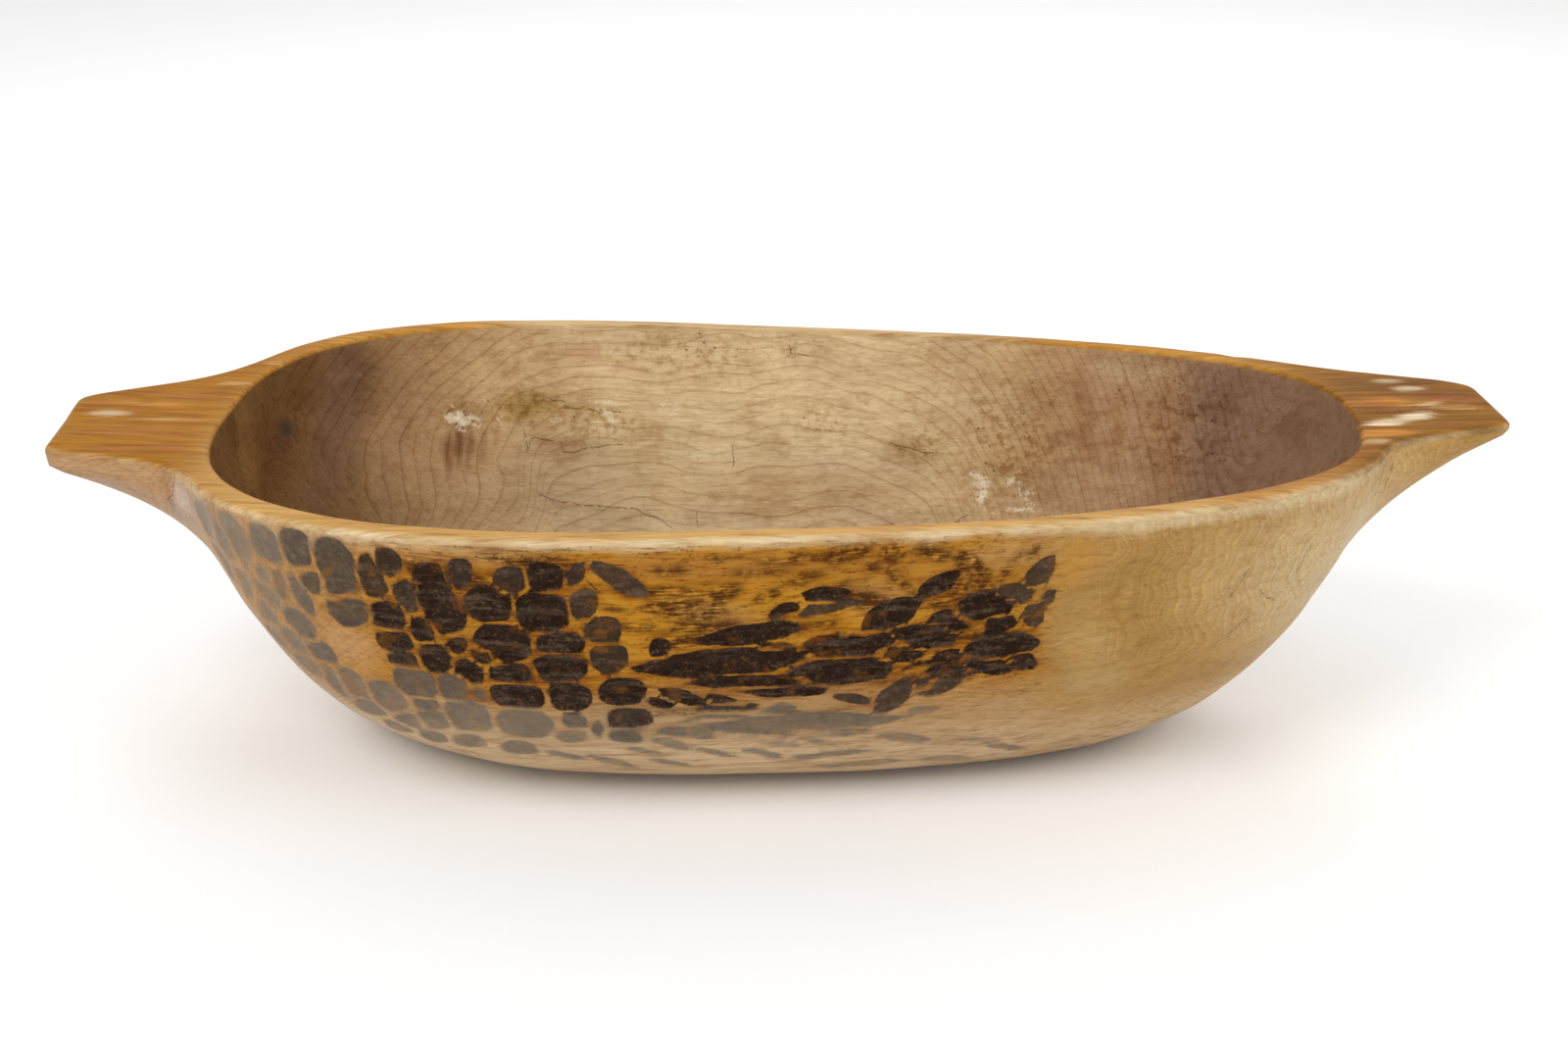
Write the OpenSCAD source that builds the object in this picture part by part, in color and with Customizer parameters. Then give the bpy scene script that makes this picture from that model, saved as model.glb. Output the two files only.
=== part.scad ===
// Carved wooden bowl: a long trough hewn from one split log, with a flat handle at each end.
// Millimetres, +Z up. The origin is on the table, below the middle of the overall length and width.
// +X runs towards the narrow end, and -Y is the stained front.

/* [Body] */
// Height of the rim above the table at mid length
rim_h = 165; // [140:1:190]
// Length of the body at the rim, without the handles
body_l = 586; // [550:1:610]
// Width of the body at the rim, at mid length
body_w = 306; // [270:1:340]
// Squareness of the rim outline, where 2 is an ellipse
body_square = 2.85; // [2.6:0.05:3.2]
// How much wider the wide end is than the middle, as a share; the other end is as much narrower
wide_end = 0.2; // [0:0.01:0.24]
// Rise of the rim from mid length to the tip of a handle
rim_rise = 5; // [0:0.5:10]
// Fullness of the wall near the base: lower is fuller
wall_belly = 0.415; // [0.38:0.005:0.45]
// Flare of the wall at the rim: higher stands more upright
wall_flare = 1.33; // [1.2:0.01:1.5]

/* [Base] */
// Length of the flat base
base_l = 336; // [300:1:380]
// Width of the flat base
base_w = 96; // [80:1:120]
// How far the base sits from the middle of the body, towards the wide end
base_shift = 23; // [0:1:30]

/* [Cavity] */
// Thickness of the rim along the sides
rim_side_t = 10; // [9:0.5:16]
// Thickness of the rim at the ends, where the handles join it
rim_end_t = 13.5; // [10:0.5:20]
// Squareness of the opening, where 2 is an ellipse
opening_square = 2.8; // [2.6:0.05:2.9]
// Thickness of the floor at its lowest point
floor_t = 20; // [16:1:30]
// How much shorter the lowest part of the floor is than the base
floor_shorter = 36; // [30:1:80]
// How much narrower the lowest part of the floor is than the base
floor_narrower = 32; // [28:1:50]
// Fullness of the cavity near its floor: lower is fuller
cavity_belly = 0.5; // [0.48:0.01:0.7]
// Flare of the cavity wall: higher stands more upright
cavity_flare = 1.5; // [1.4:0.02:1.7]

/* [Rim edges] */
// Radius of the worn outer edge of the rim
outer_edge_r = 4; // [2:0.5:5]
// Radius of the inner edge of the rim
inner_edge_r = 2.5; // [1:0.5:3]

/* [Handle at the wide end] */
// Reach of the tip from the middle of the body
wide_reach = 357; // [345:1:375]
// Slant of the tip: how far it leans out across one unit of width
wide_tip_slant = 0.095; // [0:0.005:0.12]
// Near corner of the tip, from the centre line
wide_near = -65; // [-72:1:-50]
// Flare of the near edge towards the body
wide_near_flare = 0.225; // [0.2:0.005:0.35]
// Far corner of the tip, from the centre line
wide_far = 13; // [5:1:30]
// Flare of the far edge towards the body
wide_far_flare = 0.63; // [0.4:0.01:0.7]
// Rounding of the tip's corners
wide_corner = 13; // [8:1:20]
// Fillet where the handle leaves the body
wide_fillet = 31; // [20:1:40]
// Depth below the rim at which the handle starts to swell out of the wall
wide_depth = 98; // [80:1:120]
// Thickness of the edge of the tip
wide_tip_t = 11; // [8:0.5:16]
// Hollowness of the underside: higher is thinner along the handle
wide_hollow = 3.7; // [2.5:0.1:4.2]

/* [Handle at the narrow end] */
// Reach of the tip from the middle of the body
narrow_reach = 352; // [340:1:370]
// Slant of the tip: how far it leans out across one unit of width
narrow_tip_slant = -0.08; // [-0.1:0.01:0.05]
// Near corner of the tip, from the centre line
narrow_near = -16; // [-30:1:-8]
// Flare of the near edge towards the body
narrow_near_flare = 0.32; // [0.2:0.01:0.4]
// Far corner of the tip, from the centre line
narrow_far = 49; // [38:1:60]
// Flare of the far edge towards the body
narrow_far_flare = 0.39; // [0.2:0.01:0.5]
// Rounding of the tip's corners
narrow_corner = 21; // [10:1:26]
// Fillet where the handle leaves the body
narrow_fillet = 22; // [16:1:36]
// Depth below the rim at which the handle starts to swell out of the wall
narrow_depth = 128; // [90:1:135]
// Thickness of the edge of the tip
narrow_tip_t = 6; // [6:0.5:14]
// Hollowness of the underside: higher is thinner along the handle
narrow_hollow = 4; // [2.5:0.1:4.4]

/* [Smoothness] */
// Columns of facets round the bowl
columns = 104; // [48:4:120]
// Rows of facets up the outer wall
outer_rows = 18; // [8:1:22]
// Rows of facets down the cavity
inner_rows = 13; // [6:1:16]

/* [Hidden] */
wood_colour = [0.79, 0.62, 0.4];
edge_steps = 2;                    // facets round each edge of the rim
crowding = 20;                     // how strongly the columns crowd towards the handles, in degrees
fade_start = 22;                   // angle from the centre line where a handle's flare starts to fade
fade_end = 34;                     // angle where it is gone
far_away = 10000;                  // a distance that no part of the bowl reaches
// The body's middle lies off the origin, so that the origin is midway between the two tips.
middle_x = (wide_reach - narrow_reach) / 2;
half_overall = (wide_reach + narrow_reach) / 2;
opening_l = body_l - 2 * rim_end_t;
opening_w = body_w - 2 * rim_side_t;
floor_l = base_l - floor_shorter;
floor_w = base_w - floor_narrower;

// Smooth minimum and maximum, which round the corner between two curves over a width of k
function smooth_min(a, b, k) = min(a, b) - pow(max(k - abs(a - b), 0), 2) / (4 * k);
function smooth_max(a, b, k) = max(a, b) + pow(max(k - abs(a - b), 0), 2) / (4 * k);
function smooth_step(a, b, x) = let (s = min(max((x - a) / (b - a), 0), 1)) s * s * (3 - 2 * s);

// A superellipse in plan, narrowing along +X by the share given
function superellipse(t, length, width, square, narrowing) =
    let (c = cos(t), s = sin(t), x = sign(c) * pow(abs(c), 2 / square))
    [x * length / 2, sign(s) * pow(abs(s), 2 / square) * width / 2 * (1 - narrowing * x)];

function body_point(t) = superellipse(t, body_l, body_w, body_square, wide_end);
function opening_point(t) = superellipse(t, opening_l, opening_w, opening_square, wide_end);

// The point of an ellipse that lies in the same direction as p, moved towards the wide end
function ellipse_towards(p, length, width, shift) =
    p / norm([p[0] / length * 2, p[1] / width * 2]) - [shift, 0];

// Distance from the middle, along angle phi, to a straight edge with the outward normal [nx, ny]
function edge_distance(phi, nx, ny, offset) =
    let (facing = nx * cos(phi) + ny * sin(phi))
    facing > 0.001 ? min(offset / facing, far_away) : far_away;

// Distance to the outline of a handle that points along phi = 0: its tip and its two sides
function handle_distance(phi, reach, slant, near, near_flare, far, far_flare, corner) =
    let (
        tip = edge_distance(phi, 1, -slant, reach - slant * (near + far) / 2),
        near_side = edge_distance(phi, near_flare, -1, near_flare * reach - near),
        far_side = edge_distance(phi, far_flare, 1, far_flare * reach + far)
    )
    smooth_min(smooth_min(tip, near_side, corner), far_side, corner);

// How far the handle stands out beyond the body in the direction of the body point p
function handle_extra(p) =
    let (
        wide = p[0] < 0,
        phi = atan2(p[1], abs(p[0])),
        body = norm(p),
        distance = wide
            ? handle_distance(phi, wide_reach, wide_tip_slant, wide_near, wide_near_flare,
                              wide_far, wide_far_flare, wide_corner)
            : handle_distance(phi, narrow_reach, narrow_tip_slant, narrow_near, narrow_near_flare,
                              narrow_far, narrow_far_flare, narrow_corner),
        fillet = wide ? wide_fillet : narrow_fillet
    )
    (smooth_max(body, distance, fillet) - body) * (1 - smooth_step(fade_start, fade_end, abs(phi)));

// The share of a handle's reach that stands at height h: none low on the wall, all of it at the tip
function handle_share(h, depth, tip_t, hollow) =
    pow(min(max((h - rim_h + depth) / (depth - tip_t), 0), 1), hollow);

// The outer wall in plan, at column angle t and height h
function outer_point(t, h) =
    let (
        top = body_point(t),
        foot = ellipse_towards(top, base_l, base_w, base_shift),
        grown = pow(1 - pow(1 - h / rim_h, wall_flare), wall_belly),
        share = top[0] < 0
            ? handle_share(h, wide_depth, wide_tip_t, wide_hollow)
            : handle_share(h, narrow_depth, narrow_tip_t, narrow_hollow)
    )
    foot + (top - foot) * grown + top / norm(top) * handle_extra(top) * share;

// The cavity wall in plan, at column angle t and height h
function inner_point(t, h) =
    let (
        top = opening_point(t),
        foot = ellipse_towards(top, floor_l, floor_w, base_shift),
        grown = pow(1 - pow(1 - (h - floor_t) / (rim_h - floor_t), cavity_flare), cavity_belly)
    )
    foot + (top - foot) * grown;

// Column angles crowd towards the handles, where the outline turns most
function column_angle(i) = let (a = 360 * i / columns) a - crowding * sin(2 * a);

// Moves a closed outline sideways by d, to the left of its direction of travel
function moved_outline(outline, d) = [
    for (i = [0 : columns - 1])
        let (
            along = outline[(i + 1) % columns] - outline[(i + columns - 1) % columns],
            left = [-along[1], along[0]] / norm(along)
        )
        outline[i] + left * d
];

// Puts a flat outline at height h, with the ends lifted by the rise of the rim
function raised(outline, h) = [
    for (p = outline)
        [p[0] + middle_x, p[1], h * (1 + rim_rise / rim_h * pow((p[0] + middle_x) / half_overall, 2))]
];

// Heights that crowd towards both ends of the range
function height(i, rows, low, high) = low + (high - low) * (1 - cos(180 * i / rows)) / 2;

module bowl() {
    angles = [for (i = [0 : columns - 1]) column_angle(i)];
    outer_top = [for (t = angles) outer_point(t, rim_h)];
    inner_top = [for (t = angles) inner_point(t, rim_h)];
    outer_wall = [
        for (i = [0 : outer_rows])
            let (h = height(i, outer_rows, 0, rim_h - outer_edge_r))
            raised([for (t = angles) outer_point(t, h)], h)
    ];
    outer_edge = [
        for (i = [1 : edge_steps])
            let (a = 90 * i / edge_steps, h = rim_h - outer_edge_r * (1 - sin(a)))
            raised(moved_outline(outer_top, outer_edge_r * (1 - cos(a))), h)
    ];
    inner_edge = [
        for (i = [edge_steps : -1 : 1])
            let (a = 90 * i / edge_steps, h = rim_h - inner_edge_r * (1 - sin(a)))
            raised(moved_outline(inner_top, -inner_edge_r * (1 - cos(a))), h)
    ];
    inner_wall = [
        for (i = [inner_rows : -1 : 0])
            let (h = height(i, inner_rows, floor_t, rim_h - inner_edge_r))
            raised([for (t = angles) inner_point(t, h)], h)
    ];
    rings = concat(outer_wall, outer_edge, inner_edge, inner_wall);
    ring_count = len(rings);
    points = [for (ring = rings) for (p = ring) p];
    base_face = [for (i = [0 : columns - 1]) i];
    floor_face = [for (i = [columns - 1 : -1 : 0]) (ring_count - 1) * columns + i];
    wall_faces = [
        for (r = [0 : ring_count - 2])
            for (i = [0 : columns - 1])
                let (
                    a = r * columns + i,
                    b = r * columns + (i + 1) % columns
                )
                each [[a, a + columns, b], [b, a + columns, b + columns]]
    ];
    color(wood_colour)
        polyhedron(points, concat([base_face, floor_face], wall_faces), convexity = 6);
}

bowl();
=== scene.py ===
"""A carved wooden bowl: a hewn trough with a lug handle at each end and a scorched, gouged front."""
import math

import bpy
import numpy as np
from mathutils import Matrix, Vector, noise


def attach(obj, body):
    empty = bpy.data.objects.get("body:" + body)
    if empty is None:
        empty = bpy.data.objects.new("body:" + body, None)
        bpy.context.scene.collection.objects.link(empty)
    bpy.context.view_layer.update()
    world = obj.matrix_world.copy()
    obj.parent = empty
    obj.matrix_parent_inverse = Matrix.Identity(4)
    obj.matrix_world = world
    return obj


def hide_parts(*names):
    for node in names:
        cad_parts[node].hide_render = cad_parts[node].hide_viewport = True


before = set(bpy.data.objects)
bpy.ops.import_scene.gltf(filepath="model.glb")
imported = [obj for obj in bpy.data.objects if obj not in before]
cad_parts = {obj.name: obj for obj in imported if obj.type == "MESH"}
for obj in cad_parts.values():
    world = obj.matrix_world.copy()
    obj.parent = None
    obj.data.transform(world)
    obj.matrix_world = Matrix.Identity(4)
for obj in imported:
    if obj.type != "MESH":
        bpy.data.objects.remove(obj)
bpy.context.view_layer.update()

bl_info = {
    "name": "Carved Wooden Bowl",
    "version": (1, 0, 0),
    "blender": (4, 5, 0),
    "location": "View3D > Sidebar > Bowl",
    "description": "Makes a hewn wooden trough bowl with a scorched, gouged front, and a plain stage",
    "category": "Add Mesh",
}

MM = 0.001
FAR_AWAY = 10.0            # metres, further than any part of the bowl reaches
EDGE_LIMIT = 9.0           # millimetres, how far from a mark its edge distance is kept
SENSOR_WIDTH = 36          # millimetres, of the camera
LIT_POINT = Vector((0, 0, 0.1))    # metres, where all the lamps point

# ----------------------------------------
# Marks, in millimetres. A mark is its middle, width, tallness and perhaps its lean in degrees.
# Its middle is (x, height) on the walls and (x, y) on the rim and handles.
# ----------------------------------------

# Gouge hollows with round ends, in groups: darkness, greyness, hollows. The greyer groups lie low on the wall
# and at the wide end, where their grey and lesser darkness are partly ash and partly painted light: painted
# reflection low on the wall, painted highlight at the wide end
HOLLOWS = (
    (1.0, 0.02, (
        (-147, 131, 17, 37, 8), (-157, 115, 12, 16, 12), (-153, 98, 14, 17, 5), (-142, 107, 9, 11),
        (-138, 91, 12, 14, 18), (-125, 131, 19, 19), (-120, 108, 24, 21), (-129, 101, 12, 10),
        (-119, 90, 19, 11), (-117, 77, 22, 15), (-101, 127, 22, 21), (-99, 146, 14, 13), (-95, 110, 19, 13),
        (-96, 95, 21, 15), (-93, 77, 17, 16), (-69, 80, 19, 16), (-171, 121, 16, 17, 5), (-170, 106, 15, 13),
        (-50, 106, 7, 10),
    )),
    (0.98, 0.06, (
        (-114, 144, 12, 12), (-83, 132, 11, 15, -8), (-75, 117, 14, 13, -8), (-73, 101, 14, 15),
        (-176, 141, 10, 20, 5), (-161, 132, 10, 18, 12), (-168, 150, 10, 14, 12), (-168, 95, 13, 9),
        (-69, 63, 20, 12), (-136, 146, 10, 14), (-85, 147, 5, 9, -20),
    )),
    (0.97, 0.17, (
        (-193, 143, 16, 28, 5), (-190, 121, 16, 15, 20), (-206, 136, 9, 11, 12), (-210, 149, 9, 15, 12),
    )),
    (0.95, 0.3, (
        (-147, 80, 14, 14, 10), (-136, 77, 6, 8, 20), (-165, 81, 18, 19, 5), (-226, 146, 10, 18, 15),
        (-223, 130, 7, 17, 15), (-216, 126, 7, 17, 18), (-218, 105, 9, 17, 12), (-211, 89, 11, 12, 20),
        (-93, 61, 9, 8), (-68, 51, 15, 8), (-162, 66, 9, 8), (-81, 57, 5, 13, -28),
    )),
    (0.85, 0.42, (
        (-143, 60, 19, 22, 5), (-116, 58, 23, 20), (-94, 49, 12, 7), (-122, 37, 14, 9),
        (-238, 105, 7, 16, 12), (-233, 131, 6, 9, 15), (-243, 144, 9, 20, 20), (-225, 90, 10, 13, 20),
        (-221, 75, 10, 11, 25), (-199, 70, 14, 18, 20), (-182, 67, 16, 19, 15), (-194, 53, 14, 11, 20),
        (-174, 49, 12, 10, 20), (-160, 54, 13, 12, 10), (-208, 70, 8, 18, 20), (-253, 140, 8, 16, 18),
        (-247, 118, 7, 16, 20), (-236, 88, 8, 12, 25), (-234, 118, 7, 11, 20), (-164, 38, 12, 9, 15),
        (-146, 39, 13, 9, 10), (-182, 40, 12, 9, 20), (-262, 146, 7, 12, 15), (-257, 124, 6, 12, 20),
    )),
)

# Long leaf-shaped cuts that run towards the narrow end, in groups as above; the greyer groups low on the wall
# are greyed partly as ash and partly as painted reflection
LEAVES = (
    (1.0, 0.02, (
        (-22, 97, 86, 16, 3), (4, 104, 24, 7, -8), (-10, 113, 50, 11, 8), (-12, 86, 60, 10),
        (3, 79, 48, 7, -3), (35, 105, 52, 15, 2), (34, 112, 24, 4, -4), (68, 108, 32, 14, -12),
        (60, 99, 34, 8, -15), (31, 90, 58, 15, -2), (63, 89, 22, 6), (76, 95, 30, 9, 8),
        (78, 87, 30, 10, -10), (53, 122, 31, 13, 28), (74, 137, 23, 9, 32), (94, 122, 32, 19, 12),
        (84, 117, 28, 12, -10), (100, 115, 22, 13, -12), (103, 99, 38, 17, 4), (98, 90, 30, 11, -18),
        (112, 91, 22, 9, -30), (24, 134, 24, 7), (6, 125, 16, 8, 15), (-53, 73, 17, 5, -28),
        (-41, 76, 27, 7, -28), (-22, 73, 21, 5, -25),
    )),
    (0.95, 0.08, (
        (112, 129, 28, 10, -12), (121, 126, 15, 11, 20), (118, 118, 11, 17, 5), (119, 139, 22, 9, 58),
        (-66, 145, 32, 9, -36), (36, 72, 21, 5, -18), (77, 78, 26, 9, 22), (67, 81, 18, 7, -40),
        (56, 73, 30, 12, 50), (22, 126, 36, 5, 10), (-18, 68, 32, 5, 5),
    )),
    (0.9, 0.36, (
        (0, 55, 120, 15, 2), (-20, 50, 50, 6, -18), (1, 67, 20, 6), (24, 50, 44, 6, -6), (-24, 62, 40, 5, 6),
    )),
    (0.78, 0.46, (
        (61, 42, 26, 6, -12), (69, 62, 16, 4, 5), (-51, 45, 28, 5, -28), (-79, 27, 28, 5, -25),
        (-51, 27, 22, 4, -20), (-2, 43, 32, 6, -20), (24, 31, 48, 4, 6), (77, 21, 36, 4, -6),
        (-4, 33, 24, 4, -22), (45, 20, 46, 4, 6), (110, 28, 28, 4, -25), (-62, 38, 20, 4, -15),
        (96, 36, 22, 3, -10), (-28, 36, 22, 3, -22), (20, 42, 20, 3, -18), (-100, 32, 22, 4, -20),
    )),
)

# Soft brown smudges in the stain above the cuts
SMUDGES = (
    (-34, 111, 46, 9, 8), (-46, 116, 16, 4, -30), (32, 155, 30, 10, 10), (15, 143, 26, 6, 8),
    (-5, 147, 32, 5), (-22, 136, 28, 10, 25), (-40, 128, 44, 12, -5), (-50, 138, 50, 8, -6),
    (-30, 119, 40, 9), (-2, 135, 20, 8, 40), (-45, 150, 22, 6), (40, 130, 30, 10, -10), (70, 153, 26, 8, -10),
    (88, 146, 26, 13, -40), (95, 134, 20, 11, -50), (57, 141, 26, 7, -50), (75, 127, 12, 9), (45, 147, 12, 6),
    (52, 154, 12, 12), (104, 141, 20, 7, 60), (-115, 155, 30, 6, -10), (-130, 142, 20, 12),
    (-104, 151, 26, 10, -35), (-93, 153, 20, 6, -30), (14, 116, 44, 8, 10), (-36, 67, 66, 6, 2),
    (30, 83, 44, 5), (60, 83, 22, 5, -10), (-150, 148, 34, 10, -10), (82, 133, 14, 16), (-75, 92, 7, 20, 8),
    (16, 155, 16, 7), (-86, 100, 6, 30), (4, 152, 26, 5), (28, 138, 30, 5, 12), (10, 96, 20, 3),
    (64, 130, 16, 8, 30), (-20, 156, 40, 4), (-70, 130, 20, 5, -20), (-60, 118, 24, 5, -10), (20, 64, 50, 4),
    (90, 106, 26, 8, -6), (108, 106, 14, 6), (46, 82, 30, 4), (-30, 92, 40, 3, 5), (-110, 120, 6, 16),
    (112, 150, 16, 6, 40),
)

# Soft patches of another colour: mark, colour, strength. The thin dark front stripe at x -287 is painted
# shadow down the corner where the wide handle meets the front wall
FRONT_PATCHES = (
    ((-310, 147, 64, 9, -8), (160, 140, 122), 0.6), ((-284, 136, 22, 16), (154, 138, 122), 0.6),
    ((-279, 150, 12, 14), (206, 192, 186), 0.8), ((-287, 149, 3.5, 16), (104, 76, 52), 0.7),
    ((20, 128, 110, 26, 5), (186, 132, 34), 0.6), ((-60, 122, 60, 40), (190, 134, 36), 0.7),
    ((-30, 151, 120, 12), (160, 108, 50), 0.6), ((70, 142, 80, 24, -10), (160, 110, 44), 0.5),
    ((45, 131, 34, 16, -10), (150, 118, 84), 0.45), ((-22, 124, 44, 14, -15), (140, 112, 80), 0.4),
    ((135, 146, 18, 26), (184, 134, 56), 0.7), ((139, 92, 12, 12), (176, 124, 46), 0.6),
    ((144, 96, 34, 20), (190, 160, 106), 0.5), ((150, 73, 30, 26), (186, 160, 112), 0.5),
    ((108, 152, 44, 16), (170, 134, 84), 0.6), ((100, 66, 90, 26), (168, 132, 82), 0.5),
    ((-194, 100, 26, 25, 8), (182, 140, 92), 0.8), ((206, 82, 5, 5), (140, 98, 60), 0.6),
    ((200, 130, 60, 60), (182, 150, 98), 0.6), ((262, 110, 90, 100), (190, 168, 128), 0.8),
    ((168, 128, 34, 60), (152, 112, 56), 0.5), ((160, 45, 120, 30), (176, 142, 92), 0.5),
    ((-140, 157, 70, 10), (180, 146, 96), 0.6), ((-215, 157, 90, 8), (176, 148, 116), 0.7),
    ((290, 150, 40, 30), (186, 154, 102), 0.6), ((-292, 150, 34, 18), (178, 134, 92), 0.5),
    ((-264, 150, 30, 22), (166, 152, 142), 0.7), ((-236, 120, 60, 100, 18), (172, 132, 84), 0.5),
)
INSIDE_PATCHES = (
    ((-149, 121, 36, 16), (150, 118, 52), 0.75), ((-120, 118, 40, 6, -4), (168, 136, 76), 0.6),
    ((-192, 101, 4, 20, 2), (112, 72, 38), 0.8), ((-187, 104, 4, 20), (104, 66, 34), 0.9),
    ((-181, 102, 4, 18), (116, 76, 42), 0.7), ((-174, 102, 5, 15), (136, 94, 58), 0.6),
    ((-167, 104, 4, 12), (146, 104, 66), 0.5), ((202, 120, 20, 80), (150, 110, 70), 0.4),
    ((228, 125, 26, 80), (128, 100, 84), 0.6), ((160, 124, 8, 50, 6), (150, 108, 62), 0.6),
    ((178, 118, 7, 50, -4), (150, 108, 62), 0.5), ((188, 154, 40, 18), (190, 164, 126), 0.7),
    ((125, 108, 60, 60), (166, 130, 88), 0.45), ((-246, 135, 22, 80), (112, 84, 68), 0.5),
    ((-120, 148, 20, 12), (184, 136, 104), 0.55), ((-105, 156, 34, 10), (206, 180, 146), 0.5),
    ((-115, 66, 60, 22, -8), (158, 134, 106), 0.5), ((30, 138, 60, 20), (210, 184, 148), 0.5),
    ((0, 78, 200, 26), (188, 154, 112), 0.4), ((70, 104, 40, 10, -8), (166, 138, 88), 0.5),
    ((-281, 150, 10, 22), (156, 116, 70), 0.7), ((-268, 128, 12, 40, 10), (100, 62, 34), 0.6),
    ((-266, 134, 4, 10, 20), (60, 60, 56), 0.7), ((-240, 140, 20, 36), (122, 94, 74), 0.4),
    ((-222, 112, 20, 40), (158, 126, 92), 0.5), ((-128, 84, 60, 40), (164, 138, 108), 0.5),
    ((150, 118, 60, 60), (160, 124, 84), 0.4), ((100, 128, 60, 30), (196, 172, 138), 0.4),
)
HANDLE_PATCHES = (
    ((-334, -15, 18, 8), (220, 194, 156), 0.7), ((-300, -20, 40, 3, 5), (206, 166, 112), 0.5),
    ((-312, -40, 60, 14, 6), (158, 98, 42), 0.6), ((-306, -62, 60, 12, 8), (150, 92, 40), 0.6),
    ((-286, 35, 16, 5), (206, 166, 112), 0.5), ((-272, 70, 14, 5), (206, 166, 112), 0.5),
    ((-322, 0, 50, 8), (196, 132, 62), 0.5), ((-300, 14, 50, 10, -8), (172, 112, 50), 0.5),
    ((307, 51, 14, 7), (220, 196, 158), 0.8), ((316, 39, 18, 8, 10), (222, 200, 166), 0.8),
    ((297, -10, 20, 10, 10), (220, 198, 162), 0.85), ((312, -2, 18, 10, 15), (222, 200, 166), 0.85),
    ((322, 17, 12, 5), (220, 190, 150), 0.8), ((324, 47, 22, 4, 5), (120, 70, 34), 0.8),
    ((334, 25, 36, 10, -18), (150, 84, 44), 0.8), ((292, -25, 30, 10), (204, 134, 48), 0.7),
    ((284, -37, 12, 7), (222, 190, 146), 0.8), ((245, -72, 120, 26, 43), (160, 102, 28), 0.6),
    ((300, 20, 40, 14), (184, 118, 50), 0.5), ((318, 30, 60, 6, -4), (122, 70, 20), 0.8),
    ((300, 8, 50, 5), (128, 74, 22), 0.8), ((312, -16, 60, 4, 4), (134, 80, 26), 0.7),
    ((328, 12, 40, 5, -10), (196, 146, 80), 0.6), ((300, 62, 50, 4, -6), (124, 74, 24), 0.7),
)

# White chips inside the far wall, cracks from one place to another, and pitted areas inside
CHIPS = (
    (-193, 118, 5, 6, 20), (-187, 117, 7, 5, -20), (-181, 115, 6, 4, 10), (-185, 112, 5, 3),
    (-177, 113, 4, 4), (-190, 121, 3, 3), (-166, 114, 4, 3), (-108, 121, 13, 4, -6), (-103, 113, 9, 4, -4),
    (-71, 121, 12, 3), (-134, 112, 5, 3), (107, 88, 7, 8, 10), (105, 83, 5, 5), (102, 93, 4, 3),
    (122, 92, 4, 3), (127, 90, 4, 4), (130, 86, 5, 2), (126, 79, 9, 2, 8), (133, 80, 4, 2), (111, 78, 3, 2),
)
INSIDE_CRACKS = (
    (-133, 119, -98, 117), (-128, 96, -96, 101), (-142, 76, -117, 70), (-117, 70, -94, 69),
    (-94, 69, -76, 65), (-76, 65, -68, 61), (-52, 61, -53, 68), (-33, 92, -33, 100), (56, 106, 68, 104),
    (66, 104, 78, 102), (0, 151, -1, 160), (0, 152, 12, 151), (-146, 104, -130, 101), (-152, 108, -149, 100),
    (-138, 124, -120, 120), (84, 66, 100, 74), (14, 113, 22, 112),
)
# The last two front cracks are painted shadow, a dark line down the corner where the wide handle meets the
# front wall; the rest are cracks
FRONT_CRACKS_AND_SHADOW_LINE = (
    (217, 126, 212, 113), (222, 96, 214, 88), (249, 131, 244, 118), (226, 112, 233, 104),
    (284, 154, 282, 136), (289, 156, 288, 138), (294, 154, 293, 140), (-118, 158, -108, 150),
    (-108, 158, -96, 147), (-92, 158, -82, 148), (-84, 150, -76, 140), (-100, 157, -90, 155),
    (-128, 156, -119, 154), (-281, 160, -285, 150), (-285, 150, -289, 146),
)
PITTED = (
    (-150, 121, 40, 20), (-187, 118, 24, 18), (120, 108, 60, 60), (20, 116, 30, 16), (0, 156, 16, 14),
    (210, 130, 60, 50), (72, 106, 30, 14), (-110, 110, 60, 16), (-60, 150, 70, 20),
)

# A knot on the inside of the wide end, as patches with their middle at (y, height)
END_KNOT = (
    ((0, 135, 42, 28), (88, 62, 36), 0.35), ((0, 135, 32, 20), (150, 112, 62), 0.4),
)

# How the colour changes along the inside, from the wide end to the narrow end; the darker ends are partly end
# grain and partly painted shade
INSIDE_TONES = (
    (-275, (113, 82, 48)), (-240, (131, 99, 66)), (-205, (173, 139, 99)), (-160, (198, 167, 124)),
    (-110, (214, 188, 144)), (-50, (220, 196, 154)), (60, (216, 191, 150)), (120, (204, 174, 130)),
    (165, (186, 152, 116)), (205, (164, 130, 98)), (240, (142, 110, 86)), (280, (138, 108, 84)),
)

# Colours of the outer wall
STAINED = (176, 122, 36)
STAINED_DEEP = (132, 82, 22)
STAINED_END = (168, 138, 102)
# Painted reflection: a greyish veil over the stain low on the front wall
VEIL_REFLECTION = (174, 144, 106)
BARE = (166, 129, 74)
# Painted reflected light: the lowest part of the outer wall is made paler
LOW_WALL_REFLECTED_LIGHT = (212, 187, 150)
# The pale sides of the wide handle: partly the wood's own colour, partly painted reflection
HANDLE_SIDE = (176, 142, 108)
UNDERSIDE = (170, 138, 96)
# Colours of the rim and the tops of the handles
RIM = (190, 147, 82)
FAR_RIM = (182, 130, 48)
FAR_RIM_MIDDLE = (196, 168, 124)
# Pale outer edge of the rim: partly wear, partly painted highlight
RIM_WORN_AND_HIGHLIGHT = (204, 186, 150)
HANDLE = (158, 104, 16)
NARROW_HANDLE = (136, 90, 14)

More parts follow.
